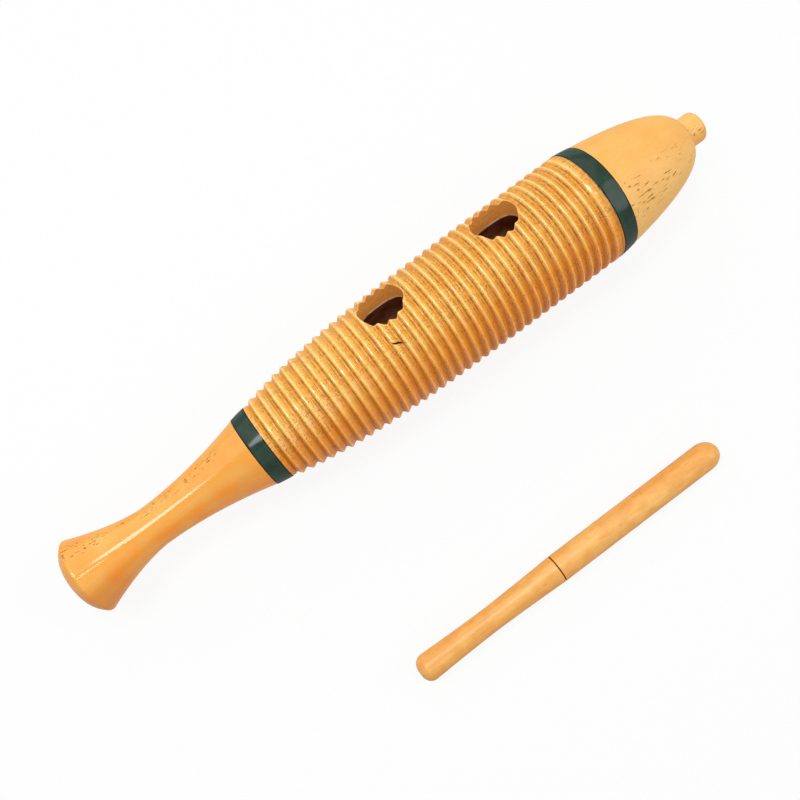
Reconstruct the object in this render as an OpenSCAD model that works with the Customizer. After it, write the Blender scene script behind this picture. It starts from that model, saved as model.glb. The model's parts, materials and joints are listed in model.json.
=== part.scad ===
// Fish guiro: a turned, hollow wooden scraper instrument with finger holes, and its scraper stick.
// Millimetres, +Z up. The guiro lies along X with its head towards +X, resting on its ribs on z = 0.
// The scraper lies in front of it, towards -Y. The origin is under the middle of the pair.

/* [Ribbed barrel] */
// Number of ribs
rib_count = 36; // [24:1:48]
// Distance from one rib crest to the next
rib_pitch = 5.63; // [4.6:0.01:7]
// Depth of the grooves between the crests
rib_depth = 2; // [1.2:0.1:2.6]
// Share of the pitch from a groove forward to its crest: less leans the ribs to the rear
rib_rise = 0.4; // [0.3:0.01:0.6]
// Roundness of the crests and grooves: 1 is a sharp zigzag, less is rounder
rib_sharpness = 0.95; // [0.8:0.01:0.99]
// Width of the plain collar beside the rear band
rear_collar = 1.6; // [0.5:0.1:5]
// Width of the bevel from that collar down into the first groove
collar_bevel = 1; // [0.5:0.1:2]
// Distance from the last crest to the front band
front_collar = 4.7; // [2:0.1:8]
// Largest diameter, over the crests
belly_d = 64.6; // [56:0.2:80]
// Distance from the rear band to the largest diameter
belly_at = 185; // [150:1:200]
// Shape of the swell behind the belly: more keeps the barrel straight for longer
barrel_swell = 4.4; // [2:0.1:6]
// Diameter over the crests beside the rear band
rear_shoulder_d = 44.6; // [43:0.2:52]
// Diameter over the crests beside the front band
front_shoulder_d = 64.2; // [60:0.2:66]
// Wall of the sound chamber at the belly, over the crests
barrel_wall = 10; // [8:0.5:13]
// Least wall left under the grooves where the chamber begins
rear_wall = 4.6; // [3:0.1:5.8]

/* [Finger holes] */
// Diameter of each finger hole
finger_hole_d = 25.5; // [20:0.5:32]
// Distance from the rear band to the middle of the rear finger hole
rear_hole_at = 85.5; // [75:0.1:95]
// Distance between the middles of the two finger holes
finger_hole_spacing = 71.5; // [50:0.5:86]
// How far the holes lean back from straight up as the guiro lies
hole_lean = 32.5; // [0:0.5:60]

/* [Tail] */
// Length from the end of the tail to the rear band
tail_len = 109.8; // [90:0.1:135]
// Diameter of the rim at the end
tail_rim_d = 43; // [34:0.2:52]
// Height of the domed end beyond the rim
tail_cap = 7.2; // [4:0.2:12]
// Fullness of the domed end: 2 is a bowl, more is flatter
tail_cap_fullness = 4; // [2:0.5:8]
// Diameter of the waist where the hand holds
tail_waist_d = 22.4; // [17:0.2:30]
// Distance from the end of the tail to the waist
tail_waist_at = 48; // [36:0.2:60]
// Hollow behind the waist: more keeps the waist straight for longer
tail_flare_curve = 1.6; // [1.2:0.05:2.5]
// Hollow ahead of the waist
tail_neck_curve = 1.85; // [1.2:0.05:2.5]

/* [Head] */
// Length of the head from the front band to the point it would come to
head_len = 57.7; // [46:0.1:70]
// Shape along the head: 1 narrows at once, more keeps its width longer
head_taper = 1.11; // [1:0.01:1.6]
// Shape of the nose: less is blunter
head_point = 0.297; // [0.25:0.001:0.5]
// Diameter of the button in the mouth
button_d = 17.4; // [12:0.2:22]
// How far the button stands out of the nose
button_out = 10.6; // [5:0.2:16]
// Rounding of the button's edge
button_round = 2.4; // [0.5:0.1:5]

/* [Bands] */
// Width of the rear band
rear_band_w = 9; // [6:0.2:14]
// Diameter of the rear band beside the tail
rear_band_tail_d = 40.5; // [36:0.1:43]
// Diameter of the rear band beside the ribs
rear_band_rib_d = 43.4; // [39:0.1:46]
// Width of the front band
front_band_w = 9.6; // [6:0.2:14]
// Diameter of the front band beside the ribs
front_band_rib_d = 64.2; // [60:0.2:66]
// Diameter of the front band beside the head
front_band_head_d = 61.7; // [56:0.1:64]
// Thickness of a band
band_thick = 1.2; // [0.8:0.1:2]
// How far a band stands proud of the wood beside it
band_proud = 0.2; // [0:0.05:0.6]

/* [Glued joints] */
// Diameter of the tail's spigot in the barrel
tail_spigot_d = 26; // [20:0.1:32]
// Length of the tail's spigot
tail_spigot_len = 26; // [15:1:34]
// Length of the head's spigot in the sound chamber
head_spigot_len = 16; // [8:1:22]
// Length of the button's peg in the nose
button_peg_len = 14; // [8:1:24]
// Diameter of the rod's tenon in the grip
tenon_d = 8; // [5:0.2:10]
// Length of the rod's tenon
tenon_len = 20; // [10:1:30]
// Room for glue on each side of a joint
glue_gap = 0.1; // [0.05:0.01:0.2]
// Empty room at the bottom of a glued socket
socket_spare = 1; // [0.5:0.5:3]

/* [Scraper] */
// Diameter of the rod
rod_d = 15.1; // [12:0.1:19]
// Length of the rod, from the ring to its tip
rod_len = 105.4; // [80:0.2:140]
// Length of the rounded tip
rod_tip = 8.9; // [5:0.1:16]
// Length of the grip, from its end to the ring
grip_len = 87.4; // [66:0.2:106]
// Diameter of the grip's end
grip_end_d = 14.6; // [12:0.2:15]
// Diameter of the grip's waist
grip_waist_d = 12.8; // [10.5:0.1:15]
// Distance from the grip's end to its waist
grip_waist_at = 43.4; // [35:0.2:62]
// Hollow on both sides of the grip's waist
grip_curve = 1.5; // [1.2:0.05:2.5]
// Rounding of the grip's end
grip_round = 5.5; // [1:0.1:6]
// Depth of the bevels that make the ring between rod and grip
ring_depth = 0.4; // [0.2:0.05:0.8]
// Distance from the guiro's line to the scraper's line, on the table
scraper_gap = 138.7; // [90:0.1:170]
// How far the scraper's middle lies ahead of the guiro's
scraper_ahead = 6; // [-40:0.1:40]
// How far the scraper is turned from the guiro's line
scraper_turn = -0.6; // [-4:0.1:4]

/* [Resting] */
// The guiro lies on this rib, counted from the rear, and the next one
rest_rib = 20; // [12:1:26]

/* [Hidden] */

// Facets of round pieces
$fn = 96;
// Steps up one side of a rib, and along a curved stretch of an outline
rib_steps = 5;
curve_steps = 18;
// A little extra so that cuts run clear of the faces they open
cut = 1;

first_groove = rear_collar + collar_bevel;
last_crest = first_groove + (rib_count - 1 + rib_rise) * rib_pitch;
barrel_len = last_crest + front_collar;
belly_r = belly_d / 2;
chamber_r = belly_r - barrel_wall;
// The chamber begins where the wall under the grooves has thickened to rear_wall
chamber_share = (barrel_wall - rib_depth - rear_wall) / (belly_r - rear_shoulder_d / 2);
chamber_at = belly_at * (1 - pow(chamber_share, 1 / barrel_swell));
socket_r = tail_spigot_d / 2 + glue_gap;
// The barrel's ends lie under the middle of the bands
barrel_rear = -rear_band_w / 2;
barrel_front = barrel_len + front_band_w / 2;
// The wood beside each edge of the bands
tail_neck_r = rear_band_tail_d / 2 - band_proud;
rear_collar_r = rear_band_rib_d / 2 - band_proud;
front_collar_r = front_band_rib_d / 2 - band_proud;
head_base_r = front_band_head_d / 2 - band_proud;
button_hole_r = button_d / 2 + glue_gap;
// The nose ends where its outline comes in to the button's hole
nose_turn = acos(pow(button_hole_r / head_base_r, 1 / (2 * head_point)));
nose_at = head_len * pow(sin(nose_turn), 2 / head_taper);
guiro_len = tail_len + rear_band_w + barrel_len + front_band_w + nose_at + button_out;
tail_end = -rear_band_w - tail_len;
head_start = barrel_len + front_band_w;
scraper_len = grip_len + rod_len;

// Radius over the crests, from the distance to the rear band
function crest_r(t) = t < belly_at
    ? belly_r - (belly_r - rear_shoulder_d / 2) * pow(1 - t / belly_at, barrel_swell)
    : belly_r - (belly_r - front_shoulder_d / 2) * pow((t - belly_at) / (barrel_len - belly_at), 2);
// A way over a rib goes from 0 in a groove to 1 on its crest and 2 in the next groove
function way_len(way) =
    rib_pitch * (way < 1 ? way * rib_rise : rib_rise + (way - 1) * (1 - rib_rise));
// Share of the groove's depth on that way, 1 in the groove and 0 on the crest
function groove(way) =
    (acos(-rib_sharpness * cos(180 * way)) - acos(rib_sharpness)) / (180 - 2 * acos(rib_sharpness));
// Hollow curve that leaves one radius and comes level at the waist
function hollow_r(end_r, waist_r, u, curve) = waist_r + (end_r - waist_r) * pow(1 - u, curve);
function between(a, b, u) = a + (b - a) * u;

// The guiro rests on two crests, so its line rises towards the head as the crests grow
rest_at = first_groove + (rest_rib - 1 + rib_rise) * rib_pitch;
rise = atan((crest_r(rest_at + rib_pitch) - crest_r(rest_at)) / rib_pitch);
// Both lines are set off so that the pair is centred over the origin
pair_depth = belly_r + scraper_gap + rod_d / 2;
guiro_y = pair_depth / 2 - belly_r;
scraper_y = guiro_y - scraper_gap;

// Stands an outline of [radius, distance] points up and turns it about the X axis
module turned(outline) {
    rotate([0, 90, 0])
        rotate_extrude()
            polygon(outline);
}

// Places what is drawn about the guiro's own line, with x = 0 at the rear band's front edge
module on_guiro() {
    middle = tail_end + guiro_len / 2;
    lift = crest_r(rest_at) * cos(rise) - (rest_at - middle) * sin(rise);
    translate([0, guiro_y, lift])
        rotate([0, -rise, 0])
            translate([-middle, 0, 0])
                rotate([-hole_lean, 0, 0])
                    children();
}

// Places what is drawn about the scraper's own line, with x = 0 at the ring
module on_scraper() {
    translate([scraper_ahead, scraper_y, rod_d / 2])
        rotate([0, 0, scraper_turn])
            translate([grip_len - scraper_len / 2, 0, 0])
                children();
}

// Radius of a seat under a band, from the band's diameters at its two edges
function seat_r(d0, d1, u) = between(d0, d1, u) / 2 - band_thick - glue_gap;

module barrel() {
    // Each rib runs from its groove over its crest, and the last one stops on its crest
    ribs = [for (rib = [0 : rib_count - 1])
        for (step = [0 : rib < rib_count - 1 ? 2 * rib_steps - 1 : rib_steps])
            let (way = step / rib_steps, t = first_groove + rib * rib_pitch + way_len(way))
                [crest_r(t) - rib_depth * groove(way), t]];
    rear_seat = [
        [seat_r(rear_band_tail_d, rear_band_rib_d, 0.5), barrel_rear],
        [seat_r(rear_band_tail_d, rear_band_rib_d, 1), 0],
        [rear_collar_r, 0],
        [rear_collar_r, rear_collar]];
    front_seat = [
        [front_collar_r, barrel_len],
        [seat_r(front_band_rib_d, front_band_head_d, 0), barrel_len],
        [seat_r(front_band_rib_d, front_band_head_d, 0.5), barrel_front]];
    bore = [
        [chamber_r, barrel_front],
        [chamber_r, chamber_at],
        [socket_r, chamber_at - (chamber_r - socket_r)],
        [socket_r, barrel_rear]];
    color("peru")
        on_guiro()
            difference() {
                turned(concat(rear_seat, ribs, front_seat, bore));
                for (at = [rear_hole_at, rear_hole_at + finger_hole_spacing])
                    translate([at, 0, 0])
                        cylinder(d = finger_hole_d, h = belly_r + cut);
            }
}

module tail() {
    rim_r = tail_rim_d / 2;
    waist_r = tail_waist_d / 2;
    cap = [for (i = [0 : curve_steps])
        let (u = sin(90 * i / curve_steps))
            [rim_r * u, tail_end + tail_cap * pow(u, tail_cap_fullness)]];
    flare = [for (i = [1 : curve_steps])
        let (u = i / curve_steps)
            [hollow_r(rim_r, waist_r, u, tail_flare_curve), tail_end + between(tail_cap, tail_waist_at, u)]];
    neck = [for (i = [1 : curve_steps])
        let (u = i / curve_steps)
            [hollow_r(tail_neck_r, waist_r, 1 - u, tail_neck_curve),
             tail_end + between(tail_waist_at, tail_len, u)]];
    seat_and_spigot = [
        [seat_r(rear_band_tail_d, rear_band_rib_d, 0), -rear_band_w],
        [seat_r(rear_band_tail_d, rear_band_rib_d, 0.5), barrel_rear],
        [tail_spigot_d / 2, barrel_rear],
        [tail_spigot_d / 2, barrel_rear + tail_spigot_len],
        [0, barrel_rear + tail_spigot_len]];
    color("goldenrod")
        on_guiro()
            turned(concat(cap, flare, neck, seat_and_spigot));
}

module head() {
    spigot_r = chamber_r - glue_gap;
    spigot_and_seat = [
        [0, barrel_front - head_spigot_len],
        [spigot_r, barrel_front - head_spigot_len],
        [spigot_r, barrel_front],
        [seat_r(front_band_rib_d, front_band_head_d, 0.5), barrel_front],
        [seat_r(front_band_rib_d, front_band_head_d, 1), head_start]];
    nose = [for (i = [0 : curve_steps])
        let (turn = nose_turn * i / curve_steps)
            [head_base_r * pow(cos(turn), 2 * head_point),
             head_start + head_len * pow(sin(turn), 2 / head_taper)]];
    peg_hole = [
        [button_hole_r, head_start + nose_at - button_peg_len - socket_spare],
        [0, head_start + nose_at - button_peg_len - socket_spare]];
    color("navajowhite")
        on_guiro()
            turned(concat(spigot_and_seat, nose, peg_hole));
}

module mouth_button() {
    peg_start = head_start + nose_at - button_peg_len;
    tip = head_start + nose_at + button_out;
    edge = [for (i = [0 : curve_steps])
        let (turn = 90 * i / curve_steps)
            [button_d / 2 - button_round * (1 - cos(turn)), tip - button_round * (1 - sin(turn))]];
    color("burlywood")
        on_guiro()
            turned(concat([[0, peg_start], [button_d / 2, peg_start]], edge, [[0, tip]]));
}

// Ring that fills a seat, between its two edges and the diameters there
module band(start, width, start_d, end_d) {
    on_guiro()
        turned([
            [start_d / 2 - band_thick, start],
            [start_d / 2, start],
            [end_d / 2, start + width],
            [end_d / 2 - band_thick, start + width]]);
}

module rear_band() {
    color("darkslategray")
        band(-rear_band_w, rear_band_w, rear_band_tail_d, rear_band_rib_d);
}

module front_band() {
    color("darkslategray")
        band(barrel_len, front_band_w, front_band_rib_d, front_band_head_d);
}

module scraper_rod() {
    rod_r = rod_d / 2;
    tip = [for (i = [0 : curve_steps])
        let (turn = 90 * i / curve_steps)
            [rod_r * cos(turn), rod_len - rod_tip * (1 - sin(turn))]];
    tenon = [
        [0, -tenon_len],
        [tenon_d / 2, -tenon_len],
        [tenon_d / 2, 0],
        [rod_r - ring_depth, 0],
        [rod_r, ring_depth]];
    color("burlywood")
        on_scraper()
            turned(concat(tenon, tip));
}

module scraper_grip() {
    end_r = grip_end_d / 2;
    waist_r = grip_waist_d / 2;
    joint_r = rod_d / 2;
    socket = tenon_d / 2 + glue_gap;
    end_round = [for (i = [0 : curve_steps])
        let (turn = 90 * i / curve_steps)
            [end_r - grip_round * (1 - sin(turn)), grip_round * (1 - cos(turn)) - grip_len]];
    swell = [for (i = [1 : curve_steps])
        let (u = i / curve_steps)
            [hollow_r(end_r, waist_r, u, grip_curve), between(grip_round, grip_waist_at, u) - grip_len]];
    neck = [for (i = [1 : curve_steps])
        let (u = i / curve_steps)
            [hollow_r(joint_r, waist_r, 1 - u, grip_curve),
             between(grip_waist_at, grip_len - ring_depth, u) - grip_len]];
    joint = [
        [joint_r - ring_depth, 0],
        [socket, 0],
        [socket, -tenon_len - socket_spare],
        [0, -tenon_len - socket_spare]];
    color("tan")
        on_scraper()
            turned(concat([[0, -grip_len]], end_round, swell, neck, joint));
}

barrel();
tail();
head();
mouth_button();
rear_band();
front_band();
scraper_rod();
scraper_grip();
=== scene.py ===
import json
from math import acos, atan, cos, pi, radians, sin

import bmesh
import bpy
from mathutils import Matrix, Vector


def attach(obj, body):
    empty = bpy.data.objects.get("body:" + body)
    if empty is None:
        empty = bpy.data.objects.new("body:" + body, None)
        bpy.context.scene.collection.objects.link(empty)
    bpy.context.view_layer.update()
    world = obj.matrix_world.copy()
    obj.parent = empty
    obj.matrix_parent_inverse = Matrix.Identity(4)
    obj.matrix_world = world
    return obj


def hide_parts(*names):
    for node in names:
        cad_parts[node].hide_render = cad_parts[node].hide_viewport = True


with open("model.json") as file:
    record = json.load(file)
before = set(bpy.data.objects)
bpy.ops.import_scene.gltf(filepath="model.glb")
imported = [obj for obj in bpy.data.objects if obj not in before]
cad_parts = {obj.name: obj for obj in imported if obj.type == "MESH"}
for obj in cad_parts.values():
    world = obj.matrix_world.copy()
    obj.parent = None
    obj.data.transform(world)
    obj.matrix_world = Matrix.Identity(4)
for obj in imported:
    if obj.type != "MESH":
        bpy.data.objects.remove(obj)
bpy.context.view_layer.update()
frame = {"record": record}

# Barrel
# A turned billet of pale hardwood, bored out from the front as the sound chamber. Ribs are cut
# round it for the scraper, and two finger holes are drilled through the wall. Stain leaves thin
# dark lines in the grooves beneath the lacquer. The groove floors and the flanks of the ribs are
# painted darker as shade, more so on the side away from the holes, and the lit side of each rib
# and the rims of the holes are painted paler as light. The crests are polished by use, and the
# cut walls are bare, with ragged fibres and a painted highlight along their inner edge.
MM = 0.001
RIB_COUNT = 36
RIB_PITCH = 5.63
RIB_DEPTH = 2.0
RIB_RISE = 0.4
RIB_SHARPNESS = 0.95
RIB_STEPS = 6
REAR_COLLAR = 1.6
COLLAR_BEVEL = 1.0
FIRST_GROOVE = REAR_COLLAR + COLLAR_BEVEL
FRONT_COLLAR = 4.7
BARREL_LEN = FIRST_GROOVE + (RIB_COUNT - 1 + RIB_RISE) * RIB_PITCH + FRONT_COLLAR
BELLY_R = 32.3
BELLY_AT = 185.0
BARREL_SWELL = 4.4
REAR_SHOULDER_R = 22.3
FRONT_SHOULDER_R = 32.1
CHAMBER_R = 22.3
CHAMBER_AT = 40.2
SOCKET_R = 13.1
REAR_BAND_W = 9.0
FRONT_BAND_W = 9.6
REAR_BAND_TAIL_R = 20.25
REAR_BAND_RIB_R = 21.7
FRONT_BAND_RIB_R = 32.1
FRONT_BAND_HEAD_R = 30.85
BAND_SEAT = 1.3
BAND_PROUD = 0.2
REAR_SEAT_R = (REAR_BAND_TAIL_R + REAR_BAND_RIB_R) / 2 - BAND_SEAT
FRONT_SEAT_R = (FRONT_BAND_RIB_R + FRONT_BAND_HEAD_R) / 2 - BAND_SEAT
REAR_HOLE_AT = 85.5
HOLE_SPACING = 71.5
HOLE_R = 12.75
HOLE_FROM_LINE = 24.5
DRILL_PAST = 2.0
DRILL_TURNS = 96
BARREL_TURNS = 180
BARREL_SHARP = 54
PLAIN_SHARP = 38
MERGE_WITHIN = 0.0005

# The guiro's own line: x runs from the rear band's front edge to the head, z up through the holes
mounts = {mount["name"]: mount for mount in frame["record"]["mounts"]}
rear_hole = Vector(mounts["rear_finger_hole"]["pos_m"])
front_hole = Vector(mounts["front_finger_hole"]["pos_m"])
hole_out = Vector(mounts["rear_finger_hole"]["axis"])
guiro_along = (front_hole - rear_hole).normalized()
guiro_up = (hole_out - hole_out.dot(guiro_along) * guiro_along).normalized()


def line_place(point, along, up):
    """Matrix that carries millimetres along and round a line to its place in the frame."""
    turn = Matrix((along, up.cross(along), up)).transposed()
    return Matrix.Translation(point) @ turn.to_4x4() @ Matrix.Scale(MM, 4)


guiro_start = rear_hole - MM * (HOLE_FROM_LINE * guiro_up + REAR_HOLE_AT * guiro_along)
guiro_place = line_place(guiro_start, guiro_along, guiro_up)


def turned(outline, place, turns, closed=False):
    """Spins an outline of (along, radius) points round a line, as on a lathe."""
    bm = bmesh.new()
    points = [bm.verts.new((x, 0, r)) for x, r in outline]
    for a, b in zip(points, points[1:] + points[:1] if closed else points[1:]):
        bm.edges.new((a, b))
    bmesh.ops.spin(bm, geom=bm.verts[:] + bm.edges[:], cent=(0, 0, 0), axis=(1, 0, 0),
                   angle=2 * pi, steps=turns, use_merge=True)
    bmesh.ops.remove_doubles(bm, verts=bm.verts[:], dist=MERGE_WITHIN)
    bmesh.ops.recalc_face_normals(bm, faces=bm.faces[:])
    bmesh.ops.transform(bm, matrix=place, verts=bm.verts[:])
    return bm


def finished(name, bm, material, sharp=PLAIN_SHARP):
    """Makes the piece's object, smooth but for edges sharper than the angle."""
    mesh = bpy.data.meshes.new(name)
    bm.to_mesh(mesh)
    bm.free()
    mesh.shade_smooth()
    mesh.set_sharp_from_angle(angle=radians(sharp))
    mesh.materials.append(material)
    piece = bpy.data.objects.new(name, mesh)
    bpy.context.scene.collection.objects.link(piece)
    return piece


class Shade:
    """A socket in a material. Arithmetic on it adds Math nodes, and node() adds any other."""

    def __init__(self, tree, socket=None):
        self.tree = tree
        self.socket = socket

    def node(self, kind, settings, inputs, out=0):
        """A new node with its settings made first, then the values or links of its sockets."""
        made = self.tree.nodes.new(kind)
        for name, value in settings.items():
            setattr(made, name, value)
        for name, value in inputs.items():
            if isinstance(value, Shade):
                self.tree.links.new(value.socket, made.inputs[name])
            else:
                made.inputs[name].default_value = value
        return Shade(self.tree, made.outputs[out] if made.outputs else None)

    def maths(self, operation, *others):
        """A Math node on this value, and on others where it takes them."""
        values = dict(enumerate((self, *others)))
        return self.node("ShaderNodeMath", {"operation": operation}, values)

    def __add__(self, other):
        return self.maths("ADD", other)

    def __sub__(self, other):
        return self.maths("SUBTRACT", other)

    def __rsub__(self, other):
        return self.node("ShaderNodeMath", {"operation": "SUBTRACT"}, {0: other, 1: self})

    def __mul__(self, other):
        return self.maths("MULTIPLY", other)

    def __truediv__(self, other):
        return self.maths("DIVIDE", other)

    def __pow__(self, other):
        return self.maths("POWER", other)

    def __abs__(self):
        return self.maths("ABSOLUTE")

    __radd__ = __add__
    __rmul__ = __mul__

    def ease(self, low, high):
        """0 below low, 1 above high, and a smooth step between."""
        ends = {"Value": self, "From Min": low, "From Max": high}
        return self.node("ShaderNodeMapRange", {"interpolation_type": "SMOOTHSTEP"}, ends)

    def tint(self, a, b):
        """Colour a where this value is 0, and b where it is 1."""
        return self.node("ShaderNodeMix", {"data_type": "RGBA"}, {0: self, 6: a, 7: b}, out=2)

    def split(self):
        """The three parts of a vector."""
        parts = self.node("ShaderNodeSeparateXYZ", {}, {0: self}).socket.node.outputs
        return [Shade(self.tree, part) for part in parts]

    def noise(self, along, across, detail=2.0, roughness=0.5):
        """Noise on this vector, so many waves to the millimetre along the piece and across it."""
        placed = self.node("ShaderNodeMapping", {}, {
            "Vector": self, "Scale": (along, across, across)})
        return self.node("ShaderNodeTexNoise", {}, {
            "Vector": placed, "Scale": 1.0, "Detail": detail, "Roughness": roughness})


def bare_nodes(owner):
    """Empties a new material or sky, ready for its nodes."""
    owner.use_nodes = True
    owner.node_tree.nodes.clear()
    return Shade(owner.node_tree)


def surface(name, place):
    """A new material, with its points in millimetres along and round the piece's own line."""
    material = bpy.data.materials.new(name)
    point = bare_nodes(material).node("ShaderNodeTexCoord", {}, {}, out="Object")
    location, turn, scale = place.inverted().decompose()
    at = point.node("ShaderNodeMapping", {}, {
        "Vector": point, "Location": location, "Rotation": turn.to_euler(), "Scale": scale})
    return material, at


def layered(colour, *layers):
    """Tints a colour with each (share, tone) in turn."""
    for share, tone in layers:
        colour = share.tint(colour, tone)
    return colour


COAT_IOR = 2.0
RELIEF_DISTANCE = 0.0002
FINE_RELIEF = 0.12
WOOD_ROUGHNESS = 0.5


def lacquered(colour, gloss, gloss_roughness, roughness=WOOD_ROUGHNESS, height=None,
              relief=FINE_RELIEF):
    """Ends a material in a matt surface under a clear coat, with a relief where it has a height."""
    inputs = {
        "Base Color": colour, "Roughness": roughness, "Specular IOR Level": 0.0,
        "Coat Weight": gloss, "Coat Roughness": gloss_roughness, "Coat IOR": COAT_IOR}
    if height is not None:
        inputs["Normal"] = colour.node("ShaderNodeBump", {}, {
            "Strength": relief, "Distance": RELIEF_DISTANCE, "Height": height})
    skin = colour.node("ShaderNodeBsdfPrincipled", {}, inputs)
    colour.node("ShaderNodeOutputMaterial", {}, {"Surface": skin})


def rgb(red, green, blue):
    """A colour as it is seen, 0 to 255, for a shader's socket."""
    def light(c):
        return c / 12.92 if c <= 0.04045 else ((c + 0.055) / 1.055) ** 2.4
    return (light(red / 255), light(green / 255), light(blue / 255), 1.0)


def crest_r(t):
    """Radius over the crests, from the distance to the rear band."""
    if t < BELLY_AT:
        return BELLY_R - (BELLY_R - REAR_SHOULDER_R) * (1 - t / BELLY_AT) ** BARREL_SWELL
    return BELLY_R - (BELLY_R - FRONT_SHOULDER_R) * ((t - BELLY_AT) / (BARREL_LEN - BELLY_AT)) ** 2


def groove(way):
    """Share of the groove's depth on the way over a rib: 1 at 0, 0 on the crest at 1, 1 at 2."""
    edge = acos(RIB_SHARPNESS)
    return (acos(-RIB_SHARPNESS * cos(pi * way)) - edge) / (pi - 2 * edge)


ribs = []
for rib in range(RIB_COUNT):
    for step in range(2 * RIB_STEPS if rib < RIB_COUNT - 1 else RIB_STEPS + 1):
        way = step / RIB_STEPS
        share = way * RIB_RISE if way < 1 else RIB_RISE + (way - 1) * (1 - RIB_RISE)
        t = FIRST_GROOVE + (rib + share) * RIB_PITCH
        ribs.append((t, crest_r(t) - RIB_DEPTH * groove(way)))
rear_seat = [
    (-REAR_BAND_W / 2, REAR_SEAT_R),
    (0, REAR_BAND_RIB_R - BAND_SEAT),
    (0, REAR_BAND_RIB_R - BAND_PROUD),
    (REAR_COLLAR, REAR_BAND_RIB_R - BAND_PROUD)]
front_seat = [
    (BARREL_LEN, FRONT_BAND_RIB_R - BAND_PROUD),
    (BARREL_LEN, FRONT_BAND_RIB_R - BAND_SEAT),
    (BARREL_LEN + FRONT_BAND_W / 2, FRONT_SEAT_R)]
bore = [
    (BARREL_LEN + FRONT_BAND_W / 2, CHAMBER_R),
    (CHAMBER_AT, CHAMBER_R),
    (CHAMBER_AT - (CHAMBER_R - SOCKET_R), SOCKET_R),
    (-REAR_BAND_W / 2, SOCKET_R)]
barrel_bm = turned(rear_seat + ribs + front_seat + bore, guiro_place, BARREL_TURNS, closed=True)


def away(a, b):
    """Distance that two offsets at right angles make."""
    return (a * a + b * b) ** 0.5


def line_at(value, middle, half):
    """1 on a thin line, and 0 away from it."""
    return 1 - abs(value - middle).ease(half * 0.4, half)


barrel_wood, at = surface("ribbed lacquered wood", guiro_place)
along, across, up = at.split()
from_line = away(across, up)
turn = across.maths("ARCTAN2", up)
# Painted shade: from 45 degrees off the holes round to the underside, the wood is tinted darker
painted_underside_shading = abs(turn).ease(radians(45), radians(90))

# The look of the wood: broad tone, fine fibres, blushes, pores, and where it is worn or broken
broad = at.noise(0.012, 0.09, detail=3.0)
fibre = at.noise(0.09, 2.2, detail=3.0)
blush = at.noise(0.3, 0.6, detail=3.0, roughness=0.6).ease(0.48, 0.66)
worn = at.noise(0.12, 0.2).ease(0.35, 0.6)
broken = at.noise(0.2, 0.35).ease(0.4, 0.6)
speckled = at.noise(0.03, 0.12, detail=1.0).ease(0.35, 0.6)
pores = at.noise(0.45, 1.7, detail=1.0).ease(0.56, 0.64) * (speckled * 0.8 + 0.2)

# Lines on each rib, by the share of it passed: 0 in a groove, RIB_RISE on the crest, 1 in the next
ribs_passed = (along - FIRST_GROOVE) / RIB_PITCH
rib_share = ribs_passed.maths("FRACT")
rib_tone = at.node("ShaderNodeTexWhiteNoise", {"noise_dimensions": "1D"}, {
    "W": ribs_passed.maths("FLOOR")})
wobble = at.noise(0.05, 0.12) * 0.2 - 0.1
# Painted shade on the rear flank of each rib
painted_rear_flank_shade = 1 - (rib_share + wobble * 0.6).ease(0.16, 0.32)
# Painted light on the side of each rib just past its crest
painted_lit_side = (rib_share + wobble * 0.6).ease(0.22, 0.36) * (1 - rib_share.ease(0.45, 0.85))
crest_line = line_at(rib_share + wobble * 0.4, RIB_RISE + 0.02, 0.08)
# Painted shade in the foot of each rib and on the floor of each groove
painted_foot_shade = rib_share.ease(0.55, 1.0)
groove_line = line_at(rib_share + wobble * 0.3, 0.17, 0.07)
painted_groove_shade = 1 - rib_share.ease(0.02, 0.14) + rib_share.ease(0.94, 1.0)
side_mark = line_at(rib_share, rib_tone * 0.12 + wobble + 0.66, 0.04)
foot_mark = line_at(rib_share, wobble * 0.5 - rib_tone * 0.06 + 0.93, 0.055)
tool_marks = side_mark * 0.6 + foot_mark

# The side that the scraper works on holds the darkest stain
SCRAPED_TURN = radians(-35)
SCRAPED_FULL = radians(25)
SCRAPED_FADE = radians(60)
SCRAPED_DEPTH = 0.75
scraped = 1 - abs(turn - SCRAPED_TURN).ease(SCRAPED_FULL, SCRAPED_FADE) * SCRAPED_DEPTH

# A short slanting crack in one rib, below the rear hole
CRACK_AT = 79.8
CRACK_TURN = radians(-45)
CRACK_SLANT = 0.62
CRACK_WAVES = 1.3
CRACK_SWAY = 0.3
CRACK_HALF_W = 0.8
CRACK_FULL = 1.8
CRACK_FADE = 2.7
crack_along = along - CRACK_AT
crack_sway = (crack_along * CRACK_WAVES).maths("SINE") * CRACK_SWAY
crack_off = (turn - CRACK_TURN) * from_line + crack_along * CRACK_SLANT - crack_sway
crack = line_at(crack_off, 0.0, CRACK_HALF_W) * (1 - abs(crack_along).ease(CRACK_FULL, CRACK_FADE))

# Bare wood: the walls of the holes, their rims painted paler as light, ragged inner fibres with a
# painted highlight along the chamber's edge, and the rough chamber
CHAMBER_SEEN_FROM = 24
CHAMBER_SEEN_FULL = 26
TORN_OUT = 0.45
TORN_HALF_W = 0.6
hole_off = abs(along - (REAR_HOLE_AT + HOLE_SPACING / 2)) - HOLE_SPACING / 2
from_hole = away(hole_off, across)
upper_side = up.ease(0.0, 1.0)
in_hole = (1 - from_hole.ease(HOLE_R + 0.03, HOLE_R + 0.15)) * upper_side
# Painted light: a pale rim round each hole
painted_lit_hole_edge = (1 - from_hole.ease(HOLE_R + 0.3, HOLE_R + 0.9)) * upper_side
in_chamber = 1 - from_line.ease(CHAMBER_R + 0.1, CHAMBER_R + 0.6)
in_chamber = in_chamber * along.ease(CHAMBER_SEEN_FROM, CHAMBER_SEEN_FULL)
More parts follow.
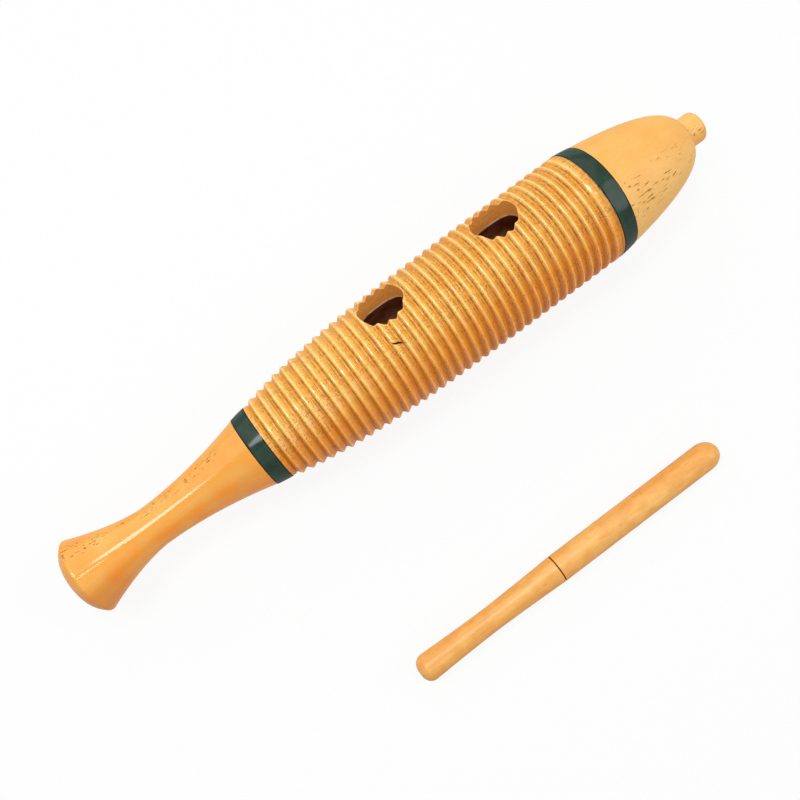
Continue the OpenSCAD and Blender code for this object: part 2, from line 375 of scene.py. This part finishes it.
# Ragged pale fibres at the chamber's edge, brightened as a painted highlight
torn_fibres_and_painted_glint = line_at(from_line, CHAMBER_R + TORN_OUT, TORN_HALF_W) * in_hole * (broken * 0.7 + 0.2)
bare = in_hole.maths("MAXIMUM", in_chamber)

barrel_tone = broad.ease(0.35, 0.65) * 0.7 + rib_tone * 0.3
barrel_colour = layered(
    barrel_tone.tint(rgb(237, 172, 69), rgb(246, 194, 93)),
    # painted shade on the side away from the holes
    (painted_underside_shading * 0.8, rgb(244, 146, 12)),
    (blush * 0.6, rgb(238, 138, 44)),
    (fibre.ease(0.42, 0.75) * 0.4, rgb(208, 130, 36)),
    # painted shade in the foot, on the rear flank and on the groove floor, deeper towards the
    # underside
    (painted_foot_shade * (painted_underside_shading * 0.3 + 0.12), rgb(200, 118, 28)),
    (painted_rear_flank_shade * (painted_underside_shading * 0.35 + 0.14), rgb(194, 108, 16)),
    (painted_groove_shade * (painted_underside_shading * 0.4 + 0.25), rgb(178, 96, 10)),
    (tool_marks * (broken * 0.5 + 0.25) * scraped, rgb(140, 78, 10)),
    (groove_line * (broken * 0.45 + 0.3) * scraped, rgb(116, 60, 6)),
    # painted light on the lit side of each rib, and crest lines paler on their top side as painted
    # light
    (painted_lit_side * (worn * 0.3 + 0.15) * (1 - painted_underside_shading), rgb(255, 212, 120)),
    (crest_line * (worn * 0.3 + 0.25), painted_underside_shading.tint(rgb(255, 222, 140), rgb(255, 184, 78))),
    (pores * (0.6 - crest_line * 0.4), rgb(146, 68, 10)),
    (crack, rgb(52, 14, 4)),
    # painted light round the rims of the holes
    (painted_lit_hole_edge * 0.5, rgb(255, 206, 124)),
    (in_hole, fibre.ease(0.35, 0.7).tint(rgb(244, 172, 88), rgb(220, 140, 58))),
    (in_chamber, worn.tint(rgb(170, 120, 90), rgb(206, 158, 126))),
    # ragged fibres with a painted highlight along the chamber's edge
    (torn_fibres_and_painted_glint * 0.85, rgb(255, 226, 180)))
lacquered(
    barrel_colour,
    gloss=(crest_line * (broken * 0.5 + 0.25) + 0.25) * (1 - bare) * (1 - crack),
    gloss_roughness=0.13,
    roughness=WOOD_ROUGHNESS + bare * 0.2,
    height=fibre * 0.4 - tool_marks * 0.6 - pores * 0.5 - crack * 2,
    relief=0.3)
barrel = finished("ribbed_barrel", barrel_bm, barrel_wood, BARREL_SHARP)
drill_len = BELLY_R + DRILL_PAST
for hole_at in (REAR_HOLE_AT, REAR_HOLE_AT + HOLE_SPACING):
    drill_bm = bmesh.new()
    bmesh.ops.create_cone(drill_bm, cap_ends=True, segments=DRILL_TURNS, radius1=HOLE_R,
                          radius2=HOLE_R, depth=drill_len,
                          matrix=Matrix.Translation((hole_at, 0, drill_len / 2)))
    bmesh.ops.transform(drill_bm, matrix=guiro_place, verts=drill_bm.verts[:])
    drill = finished("drill", drill_bm, barrel_wood)
    cut = barrel.modifiers.new("finger hole", "BOOLEAN")
    cut.operation = "DIFFERENCE"
    cut.solver = "EXACT"
    cut.object = drill
    cut_barrel = barrel.evaluated_get(bpy.context.evaluated_depsgraph_get())
    drilled = bpy.data.meshes.new_from_object(cut_barrel)
    barrel.modifiers.clear()
    barrel.data = drilled
    bpy.data.objects.remove(drill)
barrel.data.set_sharp_from_angle(angle=radians(BARREL_SHARP))
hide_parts("barrel")
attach(barrel, "guiro")

# Tail
# The handle, turned from the same wood: a flared end with a domed cap and an eased rim, a waist
# for the hand and a neck that meets the rear band. A spigot is glued into the barrel. The lacquer
# is glossy, and the end grain of the cap shows growth rings.
GLUE_GAP = 0.1
TAIL_LEN = 109.8
TAIL_RIM_R = 21.5
TAIL_CAP = 7.2
TAIL_CAP_FULLNESS = 4.0
TAIL_WAIST_R = 11.2
TAIL_WAIST_AT = 48.0
TAIL_FLARE_CURVE = 1.6
TAIL_NECK_CURVE = 1.85
TAIL_NECK_R = REAR_BAND_TAIL_R - BAND_PROUD
TAIL_SPIGOT_R = SOCKET_R - GLUE_GAP
TAIL_SPIGOT_LEN = 26.0
RIM_EASE = 0.9
RIM_STEPS = 4
CURVE_STEPS = 28
TURNS = 144


def steps(count):
    """Shares of a stretch, from just past 0 up to 1."""
    return [(i + 1) / count for i in range(count)]


def hollow_r(end_r, waist_r, u, curve):
    """Hollow curve that leaves one radius and comes level at the waist."""
    return waist_r + (end_r - waist_r) * (1 - u) ** curve


def waisted(start, start_r, start_curve, waist, waist_r, end, end_r, end_curve):
    """Points of a side that narrows from its start to a waist and widens again to its end."""
    narrowing = [
        (start + (waist - start) * u, hollow_r(start_r, waist_r, u, start_curve))
        for u in steps(CURVE_STEPS)]
    widening = [
        (waist + (end - waist) * u, hollow_r(end_r, waist_r, 1 - u, end_curve))
        for u in steps(CURVE_STEPS)]
    return narrowing + widening


def eased(before, corner, after, count):
    """Points of a small curve in place of a sharp corner."""
    shares = [((1 - u) ** 2, 2 * u * (1 - u), u * u) for u in [0] + steps(count)]
    return [
        tuple(a * p + b * q + c * r for p, q, r in zip(before, corner, after))
        for a, b, c in shares]


tail_end = -REAR_BAND_W - TAIL_LEN
rim_at = tail_end + TAIL_CAP
spigot_at = -REAR_BAND_W / 2
tail_outline = [(tail_end, 0)]
for u in steps(CURVE_STEPS)[:-RIM_STEPS]:
    reach = sin(u * pi / 2)
    tail_outline.append((tail_end + TAIL_CAP * reach ** TAIL_CAP_FULLNESS, TAIL_RIM_R * reach))
eased_share = RIM_EASE / (TAIL_WAIST_AT - TAIL_CAP)
past_rim = (rim_at + RIM_EASE, hollow_r(TAIL_RIM_R, TAIL_WAIST_R, eased_share, TAIL_FLARE_CURVE))
tail_outline += eased(tail_outline.pop(), (rim_at, TAIL_RIM_R), past_rim, RIM_STEPS + 2)
tail_outline += waisted(
    rim_at, TAIL_RIM_R, TAIL_FLARE_CURVE, tail_end + TAIL_WAIST_AT, TAIL_WAIST_R,
    -REAR_BAND_W, TAIL_NECK_R, TAIL_NECK_CURVE)
tail_outline += [
    (-REAR_BAND_W, REAR_BAND_TAIL_R - BAND_SEAT),
    (spigot_at, REAR_SEAT_R),
    (spigot_at, TAIL_SPIGOT_R),
    (spigot_at + TAIL_SPIGOT_LEN, TAIL_SPIGOT_R),
    (spigot_at + TAIL_SPIGOT_LEN, 0)]
tail_bm = turned(tail_outline, guiro_place, TURNS)

HEART_ACROSS = -28
HEART_UP = -16
RING_SPACING = 2.6
RING_WANDER = 3
PAINTED_SHADE_FADE = 30
PORES_FADE_IN = 2
PORES_FADE_OUT = 12


def plain_wood(name, pale, deep, figure_and_painted_underside_tone, figure_depth, pore_turn, pore_spread, pore_lack,
               pores_round, pores_along, pores_from, pores_to, gloss, gloss_roughness,
               side_from, side_to, painted_shade_until=0):
    """Smooth turned wood with dark pores on one side, painted shade or light below, deeper end
    grain.

    Angles are in degrees from the top. The higher pore_lack is, the fewer patches hold pores, and
    pores_round and pores_along say how close they stand. Side grain runs between side_from and
    side_to, with end grain beyond. The underside is painted in its own tone as light or shade, and
    painted shade deepens it from the rear end up to a given point.
    """
    material, at = surface(name, guiro_place)
    along, across, up = at.split()
    turn = across.maths("ARCTAN2", up)
    # Painted light or shade: the underside takes its own tone, darker on the tail and paler on the
    # head
    painted_underside_shading = abs(turn).ease(radians(50), radians(85))
    # Painted shade deepens the underside towards the tail's flared end
    painted_flare_shade = painted_underside_shading * (1 - along.ease(painted_shade_until, painted_shade_until + PAINTED_SHADE_FADE))
    broad = at.noise(0.012, 0.08, detail=3.0)
    fibre = at.noise(0.06, 1.8, detail=3.0)
    figure = at.noise(0.07, 0.06, detail=1.5).ease(0.36, 0.64)

    half_spread = radians(pore_spread) * 0.5
    pore_side = 1 - abs(turn - radians(pore_turn)).ease(half_spread, radians(pore_spread))
    pore_stretch = along.ease(pores_from - PORES_FADE_IN, pores_from)
    pore_stretch = pore_stretch * (1 - along.ease(pores_to - PORES_FADE_OUT, pores_to))
    patches = at.noise(0.09, 0.15, detail=1.0).ease(pore_lack, pore_lack + 0.12)
    unrolled = at.node("ShaderNodeCombineXYZ", {}, {0: along, 1: turn * pores_round})
    dashes = unrolled.noise(pores_along, 1.3, detail=1.0).ease(0.58, 0.65)
    pores = dashes * patches * pore_side * pore_stretch

    years = (away(across - HEART_ACROSS, up - HEART_UP) + broad * RING_WANDER) / RING_SPACING
    rings = years.maths("FRACT").ease(0.3, 1.0)
    rear_end = 1 - along.ease(side_from - 1, side_from + 0.5)
    end_grain = rear_end + along.ease(side_to - 0.5, side_to + 1)

    wood = layered(
        broad.ease(0.3, 0.7).tint(deep, pale),
        # painted light or shade on the underside, mixed with the figure
        (painted_underside_shading * (figure * figure_depth + 0.7 - figure_depth / 2), figure_and_painted_underside_tone),
        (figure * (figure_depth * 0.5 + 0.1), figure_and_painted_underside_tone),
        # painted shade on the underside of the flared end
        (painted_flare_shade * 0.5, rgb(206, 114, 18)),
        (end_grain * (rings * 0.3 + 0.15), rgb(200, 112, 34)),
        (fibre.ease(0.4, 0.8) * 0.22, rgb(214, 136, 52)),
        (pores * 0.8, rgb(120, 74, 24)))
    lacquered(wood, gloss - pores * (gloss * 0.5), gloss_roughness, height=fibre * 0.05 - pores)
    return material


# The tail's underside is painted a deeper amber as shade, and its flared end deeper still.
tail_wood = plain_wood(
    "glossy tail wood", pale=rgb(239, 175, 75), deep=rgb(233, 163, 59),
    figure_and_painted_underside_tone=rgb(246, 144, 14), figure_depth=0.6, pore_turn=0, pore_spread=19, pore_lack=0.4,
    pores_round=15, pores_along=0.4, pores_from=-112, pores_to=-18, gloss=0.42,
    gloss_roughness=0.1, side_from=tail_end + TAIL_CAP * 0.4, side_to=0, painted_shade_until=tail_end + 8)
tail = finished("flared_tail", tail_bm, tail_wood)
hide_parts("tail")
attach(tail, "guiro")

# Rear band
# A thin ring of dark green gloss, let in almost flush over the joint between tail and barrel and
# glued there. It is slightly domed, and its rounded edges are almost black.
BAND_THICK = 1.2
BAND_EDGE = 0.35
BAND_EDGE_MIDDLE = 0.3 * BAND_EDGE
BAND_DOME = 0.1
BAND_STEPS = 10
BLACK_EDGE = 0.5
BLACK_FADE = 0.9


def band_outline(start, width, start_r, end_r):
    """Ring with a slight dome and its two outer edges rounded off."""
    end = start + width
    ring = [
        (start, start_r - BAND_THICK),
        (start, start_r - BAND_EDGE),
        (start + BAND_EDGE_MIDDLE, start_r - BAND_EDGE_MIDDLE)]
    for u in [0] + steps(BAND_STEPS):
        x = BAND_EDGE + (width - 2 * BAND_EDGE) * u
        dome = BAND_DOME * 4 * u * (1 - u)
        ring.append((start + x, start_r + (end_r - start_r) * x / width + dome))
    ring += [
        (end - BAND_EDGE_MIDDLE, end_r - BAND_EDGE_MIDDLE),
        (end, end_r - BAND_EDGE),
        (end, end_r - BAND_THICK)]
    return ring


def green_gloss(name, start, width):
    """Green gloss that goes almost black along both edges of a band."""
    material, at = surface(name, guiro_place)
    along = at.split()[0]
    from_edge = width / 2 - abs(along - (start + width / 2))
    inside = from_edge.ease(BLACK_EDGE, BLACK_FADE)
    cloud = at.noise(0.15, 0.12).ease(0.35, 0.7)
    green = inside.tint(rgb(8, 12, 10), cloud.tint(rgb(18, 46, 30), rgb(30, 62, 44)))
    lacquered(green, gloss=0.24, gloss_roughness=0.14, roughness=0.4)
    return material


rear_band_ring = band_outline(-REAR_BAND_W, REAR_BAND_W, REAR_BAND_TAIL_R, REAR_BAND_RIB_R)
rear_band_bm = turned(rear_band_ring, guiro_place, TURNS, closed=True)
rear_band_green = green_gloss("rear band green", -REAR_BAND_W, REAR_BAND_W)
rear_band = finished("rear_green_band", rear_band_bm, rear_band_green)
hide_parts("rear_band")
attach(rear_band, "guiro")

# Head
# The fish's head, turned from paler wood with a blunt nose and a satin lacquer. Its spigot is
# glued into the chamber and closes it, and a hole in the nose takes the button.
HEAD_LEN = 57.7
HEAD_TAPER = 1.11
HEAD_POINT = 0.297
HEAD_BASE_R = FRONT_BAND_HEAD_R - BAND_PROUD
HEAD_SPIGOT_R = CHAMBER_R - GLUE_GAP
HEAD_SPIGOT_LEN = 16.0
HEAD_STEPS = 56
BUTTON_R = 8.7
BUTTON_PEG_LEN = 14.0
BUTTON_HOLE_R = BUTTON_R + GLUE_GAP
SOCKET_SPARE = 1.0
head_start = BARREL_LEN + FRONT_BAND_W
barrel_front = BARREL_LEN + FRONT_BAND_W / 2
nose_turn = acos((BUTTON_HOLE_R / HEAD_BASE_R) ** (1 / (2 * HEAD_POINT)))
nose_at = head_start + HEAD_LEN * sin(nose_turn) ** (2 / HEAD_TAPER)
button_hole_end = nose_at - BUTTON_PEG_LEN - SOCKET_SPARE
head_outline = [
    (barrel_front - HEAD_SPIGOT_LEN, 0),
    (barrel_front - HEAD_SPIGOT_LEN, HEAD_SPIGOT_R),
    (barrel_front, HEAD_SPIGOT_R),
    (barrel_front, FRONT_SEAT_R),
    (head_start, FRONT_BAND_HEAD_R - BAND_SEAT),
    (head_start, HEAD_BASE_R)]
for u in steps(HEAD_STEPS):
    x = head_start + HEAD_LEN * sin(nose_turn * u) ** (2 / HEAD_TAPER)
    head_outline.append((x, HEAD_BASE_R * cos(nose_turn * u) ** (2 * HEAD_POINT)))
head_outline += [(button_hole_end, BUTTON_HOLE_R), (button_hole_end, 0)]
head_bm = turned(head_outline, guiro_place, TURNS)
# The head's underside is painted paler as light.
head_wood = plain_wood(
    "pale head wood", pale=rgb(242, 183, 101), deep=rgb(237, 174, 88),
    figure_and_painted_underside_tone=rgb(250, 200, 120), figure_depth=0.2, pore_turn=-72, pore_spread=28, pore_lack=0.42,
    pores_round=25, pores_along=0.22, pores_from=216, pores_to=270, gloss=0.2,
    gloss_roughness=0.3, side_from=head_start, side_to=nose_at + 1)
head = finished("fish_head", head_bm, head_wood)
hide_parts("head")
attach(head, "guiro")

# Front band
# The same dark green ring as the rear one, let in over the joint between barrel and head and
# glued there.
front_band_ring = band_outline(BARREL_LEN, FRONT_BAND_W, FRONT_BAND_RIB_R, FRONT_BAND_HEAD_R)
front_band_bm = turned(front_band_ring, guiro_place, TURNS, closed=True)
front_band_green = green_gloss("front band green", BARREL_LEN, FRONT_BAND_W)
front_band = finished("front_green_band", front_band_bm, front_band_green)
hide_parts("front_band")
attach(front_band, "guiro")

# Mouth button
# A short dowel of the head's pale wood, glued into the nose as the fish's mouth. Its edge is
# rounded over, and its end grain shows.
BUTTON_OUT = 10.6
BUTTON_ROUND = 2.4
ROUND_STEPS = 12


def rounded_end(tip, side_r, length, depth, count):
    """Points of a quarter of an oval, from the side of a rod over to its end."""
    turns = [u * pi / 2 for u in [0] + steps(count)]
    return [(tip - length * (1 - sin(turn)), side_r - depth * (1 - cos(turn))) for turn in turns]


button_tip = nose_at + BUTTON_OUT
button_outline = [(nose_at - BUTTON_PEG_LEN, 0), (nose_at - BUTTON_PEG_LEN, BUTTON_R)]
button_outline += rounded_end(button_tip, BUTTON_R, BUTTON_ROUND, BUTTON_ROUND, ROUND_STEPS)
button_outline.append((button_tip, 0))
button_bm = turned(button_outline, guiro_place, TURNS)
# The button's underside is painted in its deep tone as shade.
button_wood = plain_wood(
    "button wood", pale=rgb(246, 190, 110), deep=rgb(240, 178, 92), figure_and_painted_underside_tone=rgb(240, 178, 92),
    figure_depth=0.2, pore_turn=-50, pore_spread=120, pore_lack=0.46, pores_round=9,
    pores_along=0.5, pores_from=nose_at, pores_to=nose_at + 24, gloss=0.2, gloss_roughness=0.3,
    side_from=nose_at - 20, side_to=button_tip - 1)
button = finished("nose_button", button_bm, button_wood)
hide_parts("mouth_button")
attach(button, "guiro")

# Scraper rod
# The scraping half of the loose stick: a straight round rod of satin wood with a domed tip. Its
# tenon is glued into the grip, and a dark line is burnt where the halves meet.
ROD_R = 7.55
ROD_LEN = 105.4
ROD_TIP = 8.9
TENON_R = 4.0
TENON_LEN = 20.0
RING_DEPTH = 0.4
RING_FULL = 0.2
RING_FADE = 0.5
SHAFT_FROM_RING = 48.0
shaft = mounts["scraper_shaft"]
scraper_along = Vector(shaft["axis"])
scraper_start = Vector(shaft["pos_m"]) - MM * SHAFT_FROM_RING * scraper_along
scraper_place = line_place(scraper_start, scraper_along, Vector((0, 0, 1)))
rod_outline = [
    (-TENON_LEN, 0),
    (-TENON_LEN, TENON_R),
    (0, TENON_R),
    (0, ROD_R - RING_DEPTH),
    (RING_DEPTH, ROD_R)]
rod_outline += rounded_end(ROD_LEN, ROD_R, ROD_TIP, ROD_R, CURVE_STEPS)
rod_bm = turned(rod_outline, scraper_place, TURNS)


def stick_wood(name):
    """Satin wood of the scraper, mottled, painted darker on its sides as shade, with the burnt
    ring.
    """
    material, at = surface(name, scraper_place)
    along, across, up = at.split()
    # Painted shade on the stick's sides and underside
    painted_underside_shading = abs(across.maths("ARCTAN2", up)).ease(radians(25), radians(80))
    ring = 1 - abs(along).ease(RING_FULL, RING_FADE)
    broad = at.noise(0.015, 0.12, detail=3.0)
    fibre = at.noise(0.05, 2.0, detail=3.0)
    mottle = at.noise(0.11, 0.22).ease(0.35, 0.65)
    pores = at.noise(0.25, 2.6, detail=1.0).ease(0.64, 0.72)
    wood = layered(
        broad.ease(0.3, 0.7).tint(rgb(237, 170, 84), rgb(246, 191, 108)),
        (mottle * 0.5, rgb(227, 150, 60)),
        # painted shade on the sides and underside
        (painted_underside_shading * 0.45, rgb(233, 150, 52)),
        (fibre.ease(0.4, 0.8) * 0.3, rgb(214, 138, 60)),
        (pores * 0.35, rgb(160, 96, 40)),
        (ring, rgb(104, 52, 10)))
    lacquered(wood, gloss=0.34 - ring * 0.3, gloss_roughness=0.32, height=fibre * 0.4 - pores)
    return material


scraper_wood = stick_wood("satin scraper wood")
rod = finished("round_rod", rod_bm, scraper_wood)
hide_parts("scraper_rod")
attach(rod, "scraper")

# Scraper grip
# The stick's handle, turned from the same wood as the rod: waisted for the fingers and rounded at
# its end, with a socket for the rod's tenon.
GRIP_LEN = 87.4
GRIP_END_R = 7.3
GRIP_WAIST_R = 6.4
GRIP_WAIST_AT = 43.4
GRIP_ROUND = 5.5
GRIP_CURVE = 1.5
TENON_HOLE_R = TENON_R + GLUE_GAP
tenon_hole_end = -TENON_LEN - SOCKET_SPARE
grip_outline = [(-GRIP_LEN, 0)]
grip_outline += rounded_end(-GRIP_LEN, GRIP_END_R, -GRIP_ROUND, GRIP_ROUND, ROUND_STEPS)[::-1]
grip_outline += waisted(
    -GRIP_LEN + GRIP_ROUND, GRIP_END_R, GRIP_CURVE, -GRIP_LEN + GRIP_WAIST_AT, GRIP_WAIST_R,
    -RING_DEPTH, ROD_R, GRIP_CURVE)
grip_outline += [
    (0, ROD_R - RING_DEPTH),
    (0, TENON_HOLE_R),
    (tenon_hole_end, TENON_HOLE_R),
    (tenon_hole_end, 0)]
grip_bm = turned(grip_outline, scraper_place, TURNS)
grip = finished("waisted_grip", grip_bm, scraper_wood)
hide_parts("scraper_grip")
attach(grip, "scraper")

# Floor and light
# White paper lies under the pair. An oval lamp over the tail and a short strip over the head end
# make the highlights, broad panels behind, in front and beyond the head fill the rest, and a
# plain pale sky stands all round.
FLOOR_SIZE = 40.0
PAPER_SEEN = (1, 1, 1, 1)
PAPER_LIT = (0.8, 0.8, 0.8, 1)
PAPER_WHITE = 0.9
SKY_COLOUR = (1, 1, 1, 1)
SKY_LIGHT = 0.28
SKY_SEEN = 0.75
LAMPS_AIM_Y = 0.057
LAMPS_AIM_Z = 0.03


def seen_rays(shade):
    """1 for what is seen, straight or in gloss or glass, and 0 for light that falls on things."""
    rays = shade.node("ShaderNodeLightPath", {}, {}).socket.node.outputs
    straight, mirrored, through = (Shade(shade.tree, rays[name]) for name in (
        "Is Camera Ray", "Is Glossy Ray", "Is Transmission Ray"))
    return (straight + mirrored + through).maths("MINIMUM", 1.0)


def soft_lamp(name, place, aim_x, length, width, watts, shape="RECTANGLE"):
    """A plain flat lamp that faces a point on the guiro's line."""
    lamp_data = bpy.data.lights.new(name, "AREA")
    lamp_data.shape = shape
    lamp_data.size = length
    lamp_data.size_y = width
    lamp_data.energy = watts
    lamp = bpy.data.objects.new(name, lamp_data)
    lamp.location = place
    facing = Vector((aim_x, LAMPS_AIM_Y, LAMPS_AIM_Z)) - Vector(place)
    lamp.rotation_euler = facing.to_track_quat("-Z", "Y").to_euler()
    bpy.context.scene.collection.objects.link(lamp)


floor_bm = bmesh.new()
bmesh.ops.create_grid(floor_bm, x_segments=1, y_segments=1, size=FLOOR_SIZE / 2)
paper = bpy.data.materials.new("white paper")
shade = bare_nodes(paper)
matt = shade.node("ShaderNodeBsdfDiffuse", {}, {"Color": PAPER_LIT})
white = shade.node("ShaderNodeEmission", {}, {"Color": PAPER_SEEN, "Strength": 1.0})
sheet = shade.node("ShaderNodeMixShader", {}, {
    0: seen_rays(shade) * PAPER_WHITE, 1: matt, 2: white})
shade.node("ShaderNodeOutputMaterial", {}, {"Surface": sheet})
floor = finished("floor", floor_bm, paper)
soft_lamp("oval lamp", (-0.22, 0.2, 1.0), -0.22, 0.78, 0.3, 4.5, "ELLIPSE")
soft_lamp("strip lamp", (0.24, -0.03, 1.0), 0.24, 0.2, 0.04, 0.35)
soft_lamp("back panel", (0.0, 0.91, 0.88), 0.0, 2.0, 2.0, 10.8)
soft_lamp("front panel", (0.1, -0.71, 0.95), 0.1, 2.0, 1.0, 2.2)
soft_lamp("head lamp", (0.95, -0.45, 0.85), 0.0, 1.0, 0.9, 4.4)
sky = bpy.data.worlds.new("studio")
shade = bare_nodes(sky)
glow = shade.node("ShaderNodeBackground", {}, {
    "Color": SKY_COLOUR, "Strength": seen_rays(shade) * (SKY_SEEN - SKY_LIGHT) + SKY_LIGHT})
shade.node("ShaderNodeOutputWorld", {}, {"Surface": glow})
bpy.context.scene.world = sky
bpy.context.scene.view_settings.view_transform = "Standard"

# Camera
# It stands over the scraper's side, 75 degrees above the table, and looks down. The guiro runs up
# to the right, with its head further off than its tail.
FRAME_PX = 800
FOCAL_PX = 904
SENSOR_MM = 36.0
AIM_AT = 66.9
AIM_DISTANCE = 468.5
LINE_TILT = radians(4.76)
ELEVATION = radians(75)
LINE_OFF_CENTRE_PX = 44.6
LINE_ANGLE = radians(36.48)
rise = atan(guiro_along.z / guiro_along.x)
toward = Vector((-sin(rise) * sin(ELEVATION), -cos(ELEVATION), cos(rise) * sin(ELEVATION)))
beside = toward.cross(guiro_along)
off_centre = atan(LINE_OFF_CENTRE_PX / FOCAL_PX)
sight = sin(LINE_TILT) * guiro_along - cos(LINE_TILT) * toward
along_view = cos(LINE_TILT) * guiro_along + sin(LINE_TILT) * toward
forward = cos(off_centre) * sight - sin(off_centre) * beside
beside_view = cos(off_centre) * beside + sin(off_centre) * sight
right = cos(LINE_ANGLE) * along_view - sin(LINE_ANGLE) * beside_view
upward = sin(LINE_ANGLE) * along_view + cos(LINE_ANGLE) * beside_view
aim = guiro_start + MM * AIM_AT * guiro_along
camera_data = bpy.data.cameras.new("camera")
camera_data.sensor_width = SENSOR_MM
camera_data.lens = FOCAL_PX / FRAME_PX * SENSOR_MM
camera = bpy.data.objects.new("camera", camera_data)
camera_turn = Matrix((right, upward, -forward)).transposed().to_4x4()
camera.matrix_world = Matrix.Translation(aim - MM * AIM_DISTANCE * sight) @ camera_turn
bpy.context.scene.collection.objects.link(camera)
bpy.context.scene.camera = camera
